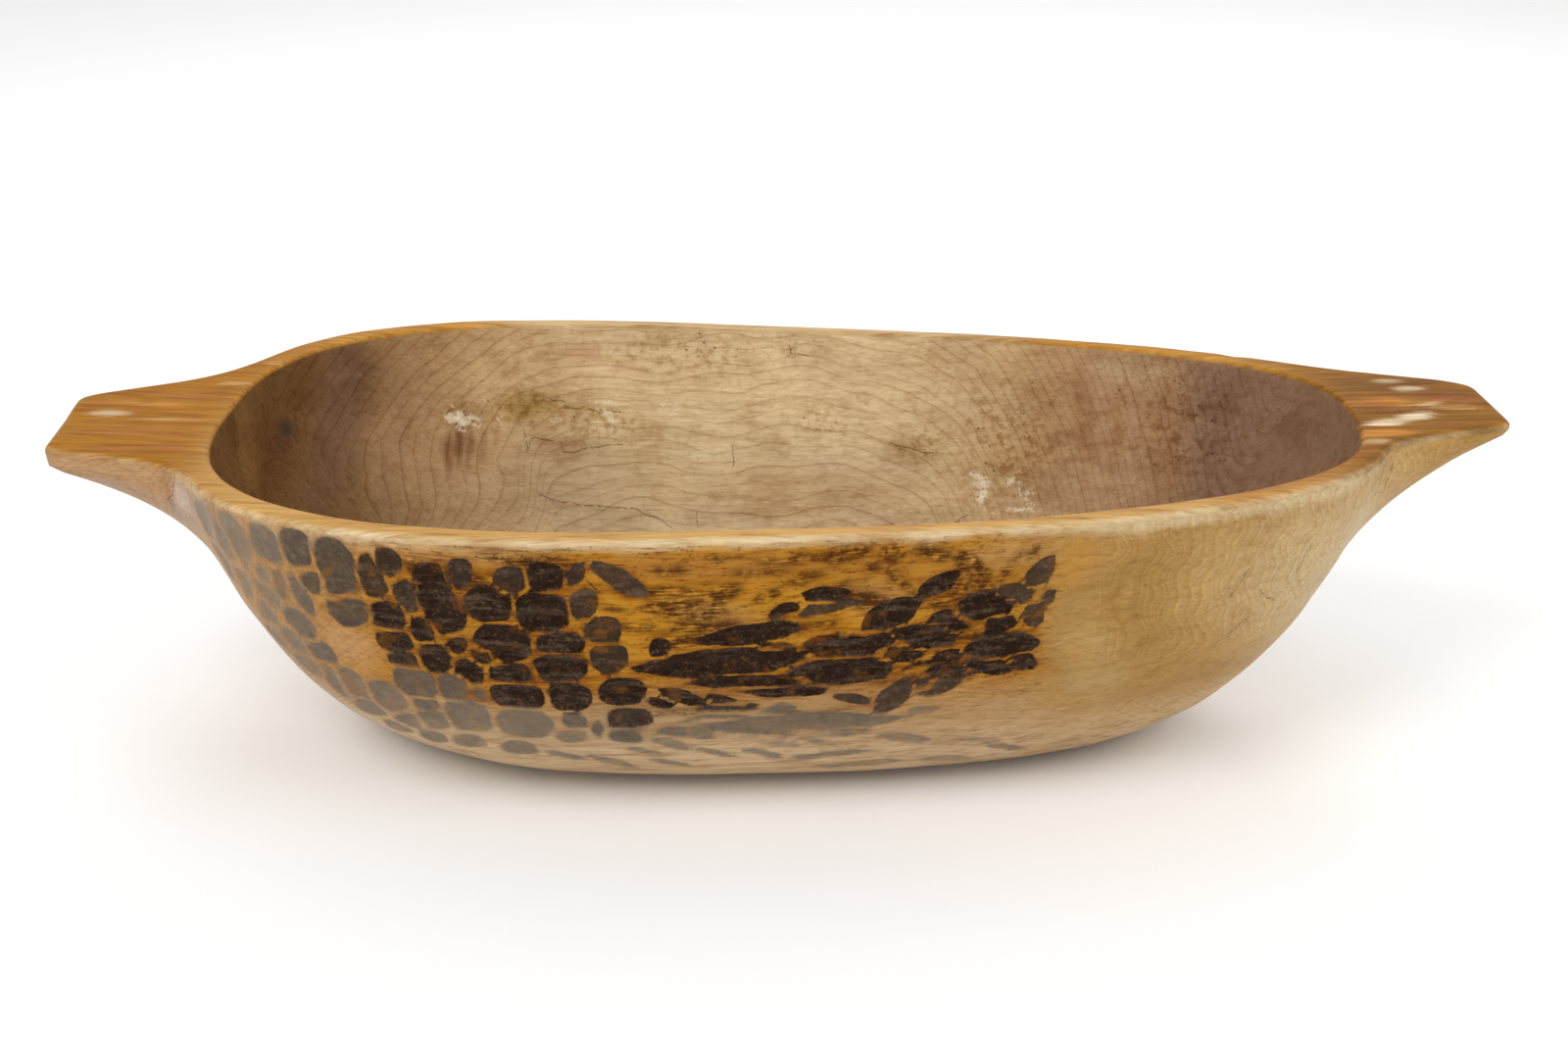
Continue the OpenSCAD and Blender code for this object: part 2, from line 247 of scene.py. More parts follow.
# Knots that bend the growth rings: x, y, z, size, and how far they push the rings
KNOTS = (
    (-150, 128, 80, 24, -9), (-270, -38, 148, 15, 5), (140, -130, 128, 34, -9), (20, 138, 146, 26, 2.5),
    (-60, -120, 60, 40, 4), (125, 112, 84, 22, -4), (-190, -80, 70, 36, 4), (170, -110, 60, 30, 5),
)

# More places and lengths in millimetres
NOTCH = (-285, 157, 8, 16, 20)     # where the wide handle meets the front wall
NOTCH_DEPTH = 2.2
NICK = (238, 97, 16, 22)           # in the far rim at the narrow end
NICK_DEPTH = 0.5
CHIP_DEPTH = 0.8
HOLLOW_SLOPE = 5.5                 # from the edge of a hollow to its deepest part
HOLLOW_SQUARE = 2.6                # squareness of a hollow, where 2 is an ellipse
LEAF_FULLNESS = 2.4                # how full the pointed ends of a leaf-shaped cut are
RIDGE = 0.95                       # half the ridge of uncut wood between two hollows
HOLLOWS_GROWN = 1.5                # how much wider each hollow is cut all round, and at the wide end
END_HOLLOWS_GROWN = 1.6
LEAVES_GROWN = 0.7
WRAPPED_FROM = -185                # hollows beyond this x carry on round the wide end
FRONT_BLEND = 24                   # the front turns into the back over this far each side of the middle
HANDLES_START = 262                # from the middle to where the rim widens into the handles
HANDLES_END = 292
HALF_BODY = 293                    # half the length of the body
TRUNK_TAPER = 0.2
RIPPLE = 4.4                       # from one pale ripple to the next
BASE_EDGE = 14                     # the outside is smooth below this height, so that the bowl stands flat
WORN_AND_HIGHLIGHT_HEIGHT = 159                  # where the pale edge of the rim, partly wear and partly painted highlight, starts on the outside


def linear(colour):
    """Turns a colour with parts from 0 to 255 into the linear light that shaders use."""
    part = np.asarray(colour, float) / 255
    return np.where(part > 0.04045, ((part + 0.055) / 1.055) ** 2.4, part / 12.92)


# ----------------------------------------
# Sizes and colours that a user may change
# ----------------------------------------

def length(name, description, default):
    return bpy.props.FloatProperty(
        name=name, description=description, default=default, subtype="DISTANCE", unit="LENGTH", precision=4)


def share(name, description, default):
    return bpy.props.FloatProperty(name=name, description=description, default=default, precision=3)


def count(name, description, default):
    return bpy.props.IntProperty(name=name, description=description, default=default, min=4)


def colour(name, description, default):
    return bpy.props.FloatVectorProperty(
        name=name, description=description, subtype="COLOR", size=3, min=0, max=1,
        default=tuple(linear(default)))


class BowlSizes(bpy.types.PropertyGroup):
    """The body of the bowl and its cavity."""
    rim_height: length("Rim height", "Height of the rim above the table at mid length", 0.165)
    body_length: length("Body length", "Length of the body at the rim, without the handles", 0.586)
    body_width: length("Body width", "Width of the body at the rim", 0.306)
    body_square: share("Body squareness", "Squareness of the rim outline, where 2 is an ellipse", 2.85)
    wide_end: share("Wide end", "How much wider the wide end is, as a share", 0.2)
    rim_rise: length("Rim rise", "Rise of the rim from mid length to the tip of a handle", 0.005)
    wall_belly: share("Wall belly", "Fullness of the wall near the base: lower is fuller", 0.415)
    wall_flare: share("Wall flare", "Higher stands more upright at the rim", 1.33)
    base_length: length("Base length", "Length of the flat base", 0.336)
    base_width: length("Base width", "Width of the flat base", 0.096)
    base_shift: length("Base shift", "How far the base sits towards the wide end", 0.023)
    opening_length: length("Opening length", "Length of the opening", 0.559)
    opening_width: length("Opening width", "Width of the opening", 0.286)
    opening_square: share("Opening squareness", "Squareness of the opening", 2.8)
    floor_thickness: length("Floor thickness", "Thickness of the floor", 0.020)
    floor_length: length("Floor length", "Length of the lowest part of the floor", 0.300)
    floor_width: length("Floor width", "Width of the lowest part of the floor", 0.064)
    cavity_belly: share("Cavity belly", "Fullness of the cavity near its floor", 0.5)
    cavity_flare: share("Cavity flare", "Higher stands more upright at the rim", 1.5)
    outer_edge: length("Outer edge radius", "Radius of the worn outer edge of the rim", 0.004)
    inner_edge: length("Inner edge radius", "Radius of the inner edge of the rim", 0.0025)


def handle_sizes(class_name, description, **defaults):
    """A group of properties for one handle, with that handle's own sizes."""
    labels = {
        "reach": (length, "Reach", "Reach of the tip from the middle of the body"),
        "tip_slant": (share, "Tip slant", "How far the tip leans out across one unit of width"),
        "near": (length, "Near corner", "Near corner of the tip, from the centre line"),
        "near_flare": (share, "Near flare", "Flare of the near edge towards the body"),
        "far": (length, "Far corner", "Far corner of the tip, from the centre line"),
        "far_flare": (share, "Far flare", "Flare of the far edge towards the body"),
        "corner": (length, "Corner", "Rounding of the tip's corners"),
        "fillet": (length, "Fillet", "Fillet where the handle leaves the body"),
        "depth": (length, "Depth", "Depth below the rim at which the handle starts to swell"),
        "tip_thickness": (length, "Tip thickness", "Thickness of the edge of the tip"),
        "hollow": (share, "Hollow", "Hollowness of the underside"),
    }
    made = {key: kind(name, words, defaults[key]) for key, (kind, name, words) in labels.items()}
    return type(class_name, (bpy.types.PropertyGroup,), {"__doc__": description, "__annotations__": made})


WideHandleSizes = handle_sizes(
    "WideHandleSizes", "The handle at the wide end.", reach=0.357, tip_slant=0.095, near=-0.065,
    near_flare=0.225, far=0.013, far_flare=0.63, corner=0.013, fillet=0.031, depth=0.098,
    tip_thickness=0.011, hollow=3.7)
NarrowHandleSizes = handle_sizes(
    "NarrowHandleSizes", "The handle at the narrow end.", reach=0.352, tip_slant=-0.08, near=-0.016,
    near_flare=0.32, far=0.049, far_flare=0.39, corner=0.021, fillet=0.022, depth=0.128,
    tip_thickness=0.006, hollow=4.0)


class BowlSurface(bpy.types.PropertyGroup):
    """How finely the bowl is divided, and how deep its tool marks are."""
    columns: count("Columns", "Columns of faces round the bowl", 600)
    wall_rows: count("Wall rows", "Rows of faces up the outside", 71)
    cavity_rows: count("Cavity rows", "Rows of faces down the inside", 52)
    gouge_depth: length("Gouge depth", "Depth of the burnt gouge hollows", 0.0013)
    waviness: length("Waviness", "How far the hewn outside strays from a smooth curve", 0.0007)
    ring_spacing: length("Ring spacing", "Width of one growth ring", 0.0017)
    pith_height: length("Pith height", "Height of the middle of the tree above the table", 0.190)


class BowlColours(bpy.types.PropertyGroup):
    """Colours of the burnt and weathered wood."""
    char: colour("Char", "The burnt wood in the hollows", (30, 13, 3))
    # Ash: partly greyed char, partly painted light, as a painted reflection on the lower wall and painted
    # highlights on the marks
    ash_and_sheen: colour("Ash", "Greyed burnt wood", (146, 138, 124))
    ember: colour("Ember", "Brown burnt wood between char and ash", (72, 45, 20))
    smoke: colour("Smoke", "Brown smudges in the stain", (70, 36, 8))
    chip: colour("Chip", "Bleached wood where a chip came away", (226, 216, 190))
    # The crack colour also draws the painted shadow line at the corner of the wide handle
    crack_and_shadow_line: colour("Crack", "Dirt in the cracks and pits", (58, 38, 22))


class StageSettings(bpy.types.PropertyGroup):
    """The floor, the lights and the camera."""
    floor_size: length("Floor size", "Width of the round floor", 16.0)
    floor_colour: colour("Floor colour", "Colour of the floor", (252, 252, 252))
    sky: share("Sky", "Strength of the light from all round", 0.72)
    key: share("Key", "Power of the large soft light at the front left, in watts", 34)
    lens: bpy.props.FloatProperty(
        name="Lens", description="Focal length of the camera", default=50.0, unit="CAMERA")
    distance: length("Camera distance", "Distance from the camera to the point it looks at", 1.108)
    elevation: bpy.props.FloatProperty(
        name="Elevation", description="How far the camera looks down", default=math.radians(22.52),
        subtype="ANGLE", unit="ROTATION")
    turn: bpy.props.FloatProperty(
        name="Turn", description="How far the camera is turned about the vertical",
        default=math.radians(-2.09), subtype="ANGLE", unit="ROTATION")
    roll: bpy.props.FloatProperty(
        name="Roll", description="How far the camera is tipped to one side",
        default=math.radians(-0.21), subtype="ANGLE", unit="ROTATION")
    aim_along: length("Aim along", "How far towards the narrow end the camera looks", 0.0003)
    aim_height: length("Aim height", "Height of the point that the camera looks at", 0.108)


# ----------------------------------------
# The shape of the bowl
# ----------------------------------------

SAMPLES_ROUND, SAMPLES_UP = 20001, 4001                 # points tried to space columns and rows evenly
FADE_START, FADE_END = math.radians(22), math.radians(34)    # where a handle's flare leaves the outline
LEAST_FACING = 0.001


def smooth_min(a, b, k):
    return np.minimum(a, b) - np.maximum(k - abs(a - b), 0) ** 2 / (4 * k)


def smooth_max(a, b, k):
    return np.maximum(a, b) + np.maximum(k - abs(a - b), 0) ** 2 / (4 * k)


def smooth_step(low, high, x):
    s = np.clip((x - low) / (high - low), 0, 1)
    return s * s * (3 - 2 * s)


def superellipse(t, long, wide, square, narrowing):
    """A superellipse in plan that narrows along +X."""
    c, s = np.cos(t), np.sin(t)
    x = np.sign(c) * abs(c) ** (2 / square)
    y = np.sign(s) * abs(s) ** (2 / square) * (1 - narrowing * x)
    return np.stack([x * long / 2, y * wide / 2], -1)


def ellipse_towards(p, long, wide, shift):
    """The point of an ellipse in the same direction as p, moved towards the wide end."""
    return p / np.hypot(p[..., 0] / long * 2, p[..., 1] / wide * 2)[..., None] - [shift, 0]


def edge_distance(phi, nx, ny, offset):
    """Distance from the middle to a straight edge with the outward normal (nx, ny)."""
    facing = nx * np.cos(phi) + ny * np.sin(phi)
    away = np.minimum(offset / np.maximum(facing, LEAST_FACING), FAR_AWAY)
    return np.where(facing > LEAST_FACING, away, FAR_AWAY)


def handle_distance(phi, handle):
    """Distance from the middle to the outline of a handle: its tip and its two sides."""
    tip = edge_distance(phi, 1, -handle.tip_slant,
                        handle.reach - handle.tip_slant * (handle.near + handle.far) / 2)
    near = edge_distance(phi, handle.near_flare, -1, handle.near_flare * handle.reach - handle.near)
    far = edge_distance(phi, handle.far_flare, 1, handle.far_flare * handle.reach + handle.far)
    return smooth_min(smooth_min(tip, near, handle.corner), far, handle.corner)


class BowlShape:
    """The smooth bowl, as outlines in plan at each height."""

    def __init__(self, sizes, wide, narrow):
        self.sizes, self.wide, self.narrow = sizes, wide, narrow
        self.middle_x = (wide.reach - narrow.reach) / 2
        self.half_overall = (wide.reach + narrow.reach) / 2

    def handle_extra(self, top):
        """How far the handles stand out beyond the body."""
        phi = np.arctan2(top[:, 1], abs(top[:, 0]))
        body = np.hypot(top[:, 0], top[:, 1])
        at_wide_end = top[:, 0] < 0
        distance = np.where(at_wide_end, handle_distance(phi, self.wide), handle_distance(phi, self.narrow))
        fillet = np.where(at_wide_end, self.wide.fillet, self.narrow.fillet)
        fade = 1 - smooth_step(FADE_START, FADE_END, abs(phi))
        return (smooth_max(body, distance, fillet) - body) * fade

    def handle_share(self, h, handle):
        low = self.sizes.rim_height - handle.depth
        return np.clip((h - low) / (handle.depth - handle.tip_thickness), 0, 1) ** handle.hollow

    def outer(self, t, h):
        """The outer wall in plan, at angle t and height h."""
        z = self.sizes
        top = superellipse(t, z.body_length, z.body_width, z.body_square, z.wide_end)
        foot = ellipse_towards(top, z.base_length, z.base_width, z.base_shift)
        grown = (1 - (1 - min(h / z.rim_height, 1)) ** z.wall_flare) ** z.wall_belly
        reach = np.where(top[:, 0] < 0, self.handle_share(h, self.wide), self.handle_share(h, self.narrow))
        out = top / np.hypot(top[:, 0], top[:, 1])[:, None]
        return foot + (top - foot) * grown + out * (self.handle_extra(top) * reach)[:, None]

    def inner(self, t, h):
        """The cavity wall in plan, at angle t and height h."""
        z = self.sizes
        top = superellipse(t, z.opening_length, z.opening_width, z.opening_square, z.wide_end)
        foot = ellipse_towards(top, z.floor_length, z.floor_width, z.base_shift)
        up = np.clip((h - z.floor_thickness) / (z.rim_height - z.floor_thickness), 0, 1)
        return foot + (top - foot) * (1 - (1 - up) ** z.cavity_flare) ** z.cavity_belly

    def raised(self, outline, h):
        """Puts a flat outline at height h, with the ends lifted by the rise of the rim."""
        x = outline[:, 0] + self.middle_x
        rise = 1 + self.sizes.rim_rise / self.sizes.rim_height * (x / self.half_overall) ** 2
        return np.stack([x, outline[:, 1], np.broadcast_to(h, x.shape) * rise], -1)

    def angles(self, columns):
        """Column angles at even steps round the rim."""
        t = np.linspace(0, 2 * np.pi, SAMPLES_ROUND)
        rim = self.outer(t, self.sizes.rim_height)
        step = np.hypot(*np.diff(rim, axis=0).T)
        along = np.concatenate([[0], np.cumsum(step)])
        return np.interp(np.linspace(0, along[-1], columns + 1), along, t)

    def heights(self, wall, low, high, rows):
        """Heights at even steps up the middle of the front wall."""
        h = low + (high - low) * np.linspace(0, 1, SAMPLES_UP) ** 3
        y = np.array([wall(np.array([1.5 * np.pi]), one)[0, 1] for one in h])
        along = np.concatenate([[0], np.cumsum(np.hypot(np.diff(h), np.diff(y)))])
        return np.interp(np.linspace(0, along[-1], rows + 1), along, h)


def moved_outline(outline, d):
    """Moves a closed outline, whose last point is its first, to the left of its direction by d."""
    ring = outline[:-1]
    along = np.roll(ring, -1, 0) - np.roll(ring, 1, 0)
    along /= np.hypot(along[:, 0], along[:, 1])[:, None]
    ring = ring + np.stack([-along[:, 1], along[:, 0]], -1) * d
    return np.concatenate([ring, ring[:1]])


OUTSIDE, TOP, INSIDE = 0, 1, 2
OUTER_EDGE_ROWS, FLAT_ROWS, INNER_EDGE_ROWS = 4, 21, 3
BASE_RINGS = (0, 0.3, 0.55, 0.8)                        # shares of the way out from the middle
FLOOR_RINGS = (0.85, 0.7, 0.55, 0.4, 0.25, 0.1, 0)


def bowl_rings(shape, surface):
    """Rings from the middle of the base, up the outside, over the rim and down to the floor.

    Returns the points, the height of each ring before the ends are lifted, and which face it is on."""
    z = shape.sizes
    t = shape.angles(surface.columns)
    rings, heights, faces = [], [], []

    def add(outline, h, face):
        rings.append(shape.raised(outline, h))
        heights.append(np.broadcast_to(h, t.shape))
        faces.append(face)

    middle = np.array([-z.base_shift, 0])
    base = shape.outer(t, 0)
    for s in BASE_RINGS:
        add(middle + (base - middle) * s, 0, OUTSIDE)
    for h in shape.heights(shape.outer, 0, z.rim_height - z.outer_edge, surface.wall_rows):
        add(shape.outer(t, h), h, OUTSIDE)
    outer_top = shape.outer(t, z.rim_height)
    for a in np.radians(np.linspace(0, 90, OUTER_EDGE_ROWS + 1)[1:]):
        add(moved_outline(outer_top, z.outer_edge * (1 - math.cos(a))),
            z.rim_height - z.outer_edge * (1 - math.sin(a)), TOP)
    inner_top = shape.inner(t, z.rim_height)
    start = moved_outline(outer_top, z.outer_edge)
    end = moved_outline(inner_top, -z.inner_edge)
    for s in np.linspace(0, 1, FLAT_ROWS + 2)[1:-1]:
        add(start + (end - start) * s, z.rim_height, TOP)
    for a in np.radians(np.linspace(90, 0, INNER_EDGE_ROWS + 1)[:-1]):
        add(moved_outline(inner_top, -z.inner_edge * (1 - math.cos(a))),
            z.rim_height - z.inner_edge * (1 - math.sin(a)), TOP)
    down = shape.heights(shape.inner, z.floor_thickness, z.rim_height - z.inner_edge, surface.cavity_rows)
    for h in down[::-1]:
        add(shape.inner(t, h), h, INSIDE)
    bottom = shape.inner(t, z.floor_thickness)
    for s in FLOOR_RINGS:
        add(middle + (bottom - middle) * s, z.floor_thickness, INSIDE)
    return np.array(rings), np.array(heights), np.array(faces)


# ----------------------------------------
# What the tools, the fire and the years did to the surface. All lengths here are millimetres.
# ----------------------------------------

def soft_noise(points, size, seed):
    """Smooth noise from -1 to 1 with features about size across. Size may be one number or three."""
    places = points / np.asarray(size, float) + seed * 17.3
    flat = [noise.noise(Vector(place)) for place in places.reshape(-1, 3).tolist()]
    return np.array(flat).reshape(points.shape[:-1])


def local(x, up, at_x, at_up, wide, tall, lean=0):
    """Distances along and across a mark, as shares of its half sizes."""
    c, s = math.cos(math.radians(lean)), math.sin(math.radians(lean))
    dx, dy = x - at_x, up - at_up
    return (dx * c + dy * s) * 2 / wide, (dy * c - dx * s) * 2 / tall


def round_edge(x, up, mark):
    """Edge distance of a hollow with round ends: below 0 is inside it."""
    u, v = local(x, up, *mark)
    out = (abs(u) ** HOLLOW_SQUARE + abs(v) ** HOLLOW_SQUARE) ** (1 / HOLLOW_SQUARE)
    return (out - 1) * min(mark[2], mark[3]) / 2


def leaf_edge(x, up, mark):
    """Edge distance of a leaf-shaped cut with pointed ends."""
    u, v = local(x, up, *mark)
    return (abs(v) + abs(u) ** LEAF_FULLNESS - 1) * mark[3] / 2


class Marks:
    """The nearest mark at each point: its edge distance, darkness, greyness and raggedness."""

    def __init__(self, x, up):
        self.x, self.up = x, up
        self.edge, self.second = np.full(x.shape, EDGE_LIMIT), np.full(x.shape, EDGE_LIMIT)
        self.dark, self.grey, self.ragged = (np.zeros(x.shape) for _ in range(3))

    def add(self, shape, marks, dark=1.0, grey=0.0, ragged=1.0, grown=0.0):
        """Adds marks of one shade, each grown by so many millimetres."""
        for mark in marks:
            edge = shape(self.x, self.up, mark) - grown
            nearer = edge < self.edge
            self.second = np.where(nearer, self.edge, np.minimum(self.second, edge))
            self.edge = np.where(nearer, edge, self.edge)
            self.dark = np.where(nearer, dark, self.dark)
            self.grey = np.where(nearer, grey, self.grey)
            self.ragged = np.where(nearer, ragged, self.ragged)
        return self

    def parted(self, ridge):
        """Edge distance with a ridge of uncut wood, of half this width, wherever two marks meet."""
        return np.maximum(self.edge, ridge - (self.second - self.edge) / 2)


def crack_fields(x, up, cracks):
    """For the nearest crack: the distance to one side of it, and how near it is from 0 to 1."""
    across, nearest = np.full(x.shape, EDGE_LIMIT), np.full(x.shape, EDGE_LIMIT)
    for x0, up0, x1, up1 in cracks:
        long = math.hypot(x1 - x0, up1 - up0)
        along_x, along_up = (x1 - x0) / long, (up1 - up0) / long
        along = (x - x0) * along_x + (up - up0) * along_up
        side = (up - up0) * along_x - (x - x0) * along_up
        away = np.hypot(side, np.maximum(np.maximum(-along, along - long), 0) * 2)
        nearer = away < nearest
        across, nearest = np.where(nearer, side, across), np.where(nearer, away, nearest)
    return across, np.clip(1.6 - nearest / 3, 0, 1)


def blended(tone, paint, amount):
    return tone + (linear(paint) - tone) * amount[..., None]


def patched(tone, x, up, patches, where, crisp=1.5):
    """Lays patches of another colour over a tone; a higher crisp gives them harder edges."""
    for mark, paint, strength in patches:
        u, v = local(x, up, *mark)
        tone = blended(tone, paint, np.exp(-(u * u + v * v) ** crisp * 0.8) * strength * where)
    return tone


def ring_distance(points, surface):
    """Distance from the middle of the tree, bent by knots and by the growth of the trunk."""
    x, y, z = (points[..., i] for i in range(3))
    # The trunk tapers as the bowl does, so that the rings run along its sides
    taper = np.clip(1 - TRUNK_TAPER * x / HALF_BODY, 1 - TRUNK_TAPER, 1 + TRUNK_TAPER)
    distance = np.hypot((y - 4) / taper, z - surface.pith_height / MM)
    distance = distance - 0.0011 * np.maximum(x - 35, 0) ** 2 * (y > 0)
    distance = distance + 2.2 * soft_noise(points, (190, 80, 70), 5)
    distance = distance + 0.8 * soft_noise(points, (60, 30, 16), 6)
    for kx, ky, kz, size, push in KNOTS:
        away = np.sqrt(((x - kx) / 1.6) ** 2 + (y - ky) ** 2 + (z - kz) ** 2) / size
        distance = distance + push * np.exp(-away * away)
    return distance


def far_wall_rings(x, h, mm):
    """Growth rings on the inside of the far wall: level in the middle, upright and close at the ends."""
    end = np.where(x < -15, 178.0, 124.0)
    aside = abs(x + 15) / end
    aside = np.where(aside < 0.8, aside ** 3, 0.512 + 1.92 * (aside - 0.8))
    waves = 0.028 * np.sin(x / 19 + h / 26) + 0.014 * np.sin(x / 8.5 - h / 17)
    hump = 0.075 * np.exp(-((x - 22) / 30) ** 2 - ((h - 150) / 34) ** 2)
    up = (h - 20) / 100 - hump + waves * np.exp(-aside)
    up = up + 0.03 * soft_noise(mm, (60, 60, 14), 31) + 0.012 * soft_noise(mm, (22, 22, 6), 32)
    rings = 15 * np.sqrt(aside ** 2 + up ** 2)
    # A bundle of rings runs together where a branch once grew
    gathered = smooth_step(10, -14, x + 144 + 0.25 * (h - 83)) * np.exp(-((h - 72) / 26) ** 2)
    return rings + 4.2 * gathered + 0.15 * soft_noise(mm, (16, 16, 10), 33)


class Skin:
    """The bowl's points in millimetres, the face each is on, and the noises that several marks share."""

    def __init__(self, points, heights, faces):
        mm = points / MM
        self.mm, self.x, self.y, self.h = mm, mm[..., 0], mm[..., 1], heights / MM
        face = np.broadcast_to(faces[:, None], self.x.shape)
        self.outside, self.top, self.inside = (face == one for one in (OUTSIDE, TOP, INSIDE))
        self.back = self.y >= 0
        self.front_wall = self.outside & ~self.back
        self.far_wall = self.inside & self.back
        self.front_share = smooth_step(FRONT_BLEND, -FRONT_BLEND, self.y)
        self.at_handles = smooth_step(HANDLES_START, HANDLES_END, abs(self.x))
        self.broad, self.patchy = soft_noise(mm, (70, 40, 40), 7), soft_noise(mm, (26, 12, 12), 8)
        self.warp_x, self.warp_up = soft_noise(mm, 10, 1) * 1.3, soft_noise(mm, 10, 2) * 1.3
        self.wx, self.wy, self.wh = self.x + self.warp_x, self.y + self.warp_up, self.h + self.warp_up


def burnt_marks(skin):
    """Fields of the burnt hollows and cuts: edge distance, darkness, greyness and raggedness."""
    front = Marks(skin.wx, skin.wh)
    grown = HOLLOWS_GROWN + END_HOLLOWS_GROWN * smooth_step(-180, -215, skin.x)
    for dark, grey, hollows in HOLLOWS:
        front.add(round_edge, hollows, dark, grey, 0.3, grown)
    for dark, grey, cuts in LEAVES:
        front.add(leaf_edge, cuts, dark, grey, 0.5, LEAVES_GROWN)
    # The hollows carry on round the wide end and fade out on the back
    back = Marks(skin.wx, skin.wh)
    for dark, grey, hollows in HOLLOWS[2:]:
        wrapped = [hollow for hollow in hollows if hollow[0] < WRAPPED_FROM]
        back.add(round_edge, wrapped, dark * 0.6, grey, 0.6, END_HOLLOWS_GROWN)
    edge = np.where(skin.outside, back.parted(RIDGE), EDGE_LIMIT)
    edge = np.where(skin.front_wall, front.parted(RIDGE), edge)
    # Painted highlight: the marks at the far end of the front are greyed further, standing in for a pale
    # sheen on them
    far_end_sheen = 0.14 * smooth_step(-195, -235, skin.x)
    return {
        "mark_edge": np.clip(edge, -EDGE_LIMIT, EDGE_LIMIT),
        "mark_dark": np.where(skin.front_wall, front.dark, back.dark),
        "mark_grey": np.clip(np.where(skin.front_wall, front.grey, back.grey) + far_end_sheen, 0, 1),
        "mark_ragged": np.where(skin.back, back.ragged, front.ragged),
    }


def small_marks(skin):
    """Fields of the smudges, chips, cracks and pits."""
    smudges = Marks(skin.wx + 2 * skin.warp_x, skin.wh + skin.warp_up).add(leaf_edge, SMUDGES)
    chips = Marks(skin.wx, skin.wh).add(round_edge, CHIPS)
    outer_side, outer_near = crack_fields(skin.wx, skin.wh, FRONT_CRACKS_AND_SHADOW_LINE)
    inner_side, inner_near = crack_fields(skin.wx, skin.wh, INSIDE_CRACKS)
    pits = np.zeros(skin.x.shape)
    for mark in PITTED:
        u, v = local(skin.x, skin.h, *mark)
        pits = np.maximum(pits, np.exp(-(u * u + v * v)))
    return {
        "smudge_edge": np.where(skin.front_wall, smudges.edge, EDGE_LIMIT),
        "chip_edge": np.where(skin.far_wall, chips.edge, EDGE_LIMIT),
        "crack_side": np.where(skin.inside, inner_side, outer_side),
        "crack_near": np.where(skin.far_wall, inner_near, np.where(skin.front_wall, outer_near, 0)),
        "pits": np.where(skin.far_wall, pits, np.where(skin.inside, 0.25, 0)),
    }


def inside_tone(skin):
    """The colour of the cavity: pale in the middle, darker towards the ends, partly end grain and partly
    painted shade, and darker towards the floor.
    """
    stops = [stop for stop, _ in INSIDE_TONES]
    tones = np.array([linear(one) for _, one in INSIDE_TONES])
    tone = np.stack([np.interp(skin.x + 10 * skin.broad, stops, part) for part in tones.T], -1)
    tone = tone * (1 - 0.27 * smooth_step(140, 62, skin.h))[..., None]
    tone = patched(tone, skin.wx, skin.wh, INSIDE_PATCHES, skin.back)
    return patched(tone, skin.wy, skin.wh, END_KNOT, smooth_step(-240, -255, skin.x))


def outside_tone(skin):
    """The colour of the outer wall, and how strongly it is stained. Painted light is part of it: a greyish
    painted reflection low on the stained wall that also weakens the stain, paler painted reflected light at
    the bottom, partly painted reflection on the wide handle's sides, and a pale edge under the rim that is
    partly wear and partly painted highlight.
    """
    x, h, broad, patchy = skin.x, skin.h, skin.broad, skin.patchy
    stain_ends = 126 + 8 * soft_noise(skin.mm, (12, 12, 9), 9) + 8 * broad
    stained_back = 1 - smooth_step(-200, 60, x + 30 * broad)
    stained = stained_back + (1 - smooth_step(-14, 12, x - stain_ends) - stained_back) * skin.front_share
    # Painted reflection: a greyish veil over the stain low on the wall, which also weakens the stain there
    veil_reflection = smooth_step(88, 60, h + 8 * broad + 5 * patchy)
    tone = np.broadcast_to(linear(BARE), (*x.shape, 3))
    for paint, amount in (
        (STAINED, stained),
        (STAINED_DEEP, np.clip(0.35 + patchy * 0.8, 0, 1) * stained * 0.6),
        (VEIL_REFLECTION, veil_reflection * stained * 0.85),
        (STAINED_END, smooth_step(-150, -240, x) * 0.5 * stained),
        # Painted reflected light on the lowest part of the wall
        (LOW_WALL_REFLECTED_LIGHT, smooth_step(62, 34, h) * 0.55),
        # Partly the wood's own colour, partly painted reflection on the sides of the wide handle
        (HANDLE_SIDE, smooth_step(-HANDLES_START, -290, x) * smooth_step(96, 130, h) * 0.7),
    ):
        tone = blended(tone, paint, amount)
    tone = patched(tone, skin.wx, skin.wh, FRONT_PATCHES, skin.front_share)
    # The pale edge under the rim, partly wear and partly painted highlight, reaches further down where the
    # wood is bare
    lower = 5 * smooth_step(90, 150, x)
    worn_and_highlight = smooth_step(0, 3 + 0.6 * lower, h - WORN_AND_HIGHLIGHT_HEIGHT + lower + 3 * patchy + 2 * broad)
    tone = blended(tone, RIM_WORN_AND_HIGHLIGHT, worn_and_highlight * (1 - skin.at_handles) * 0.6)
    tone = blended(tone, UNDERSIDE, smooth_step(8, 0, h))
    return tone, stained * (1 - 0.8 * veil_reflection) * (1 - 0.85 * smooth_step(-145, -215, x))


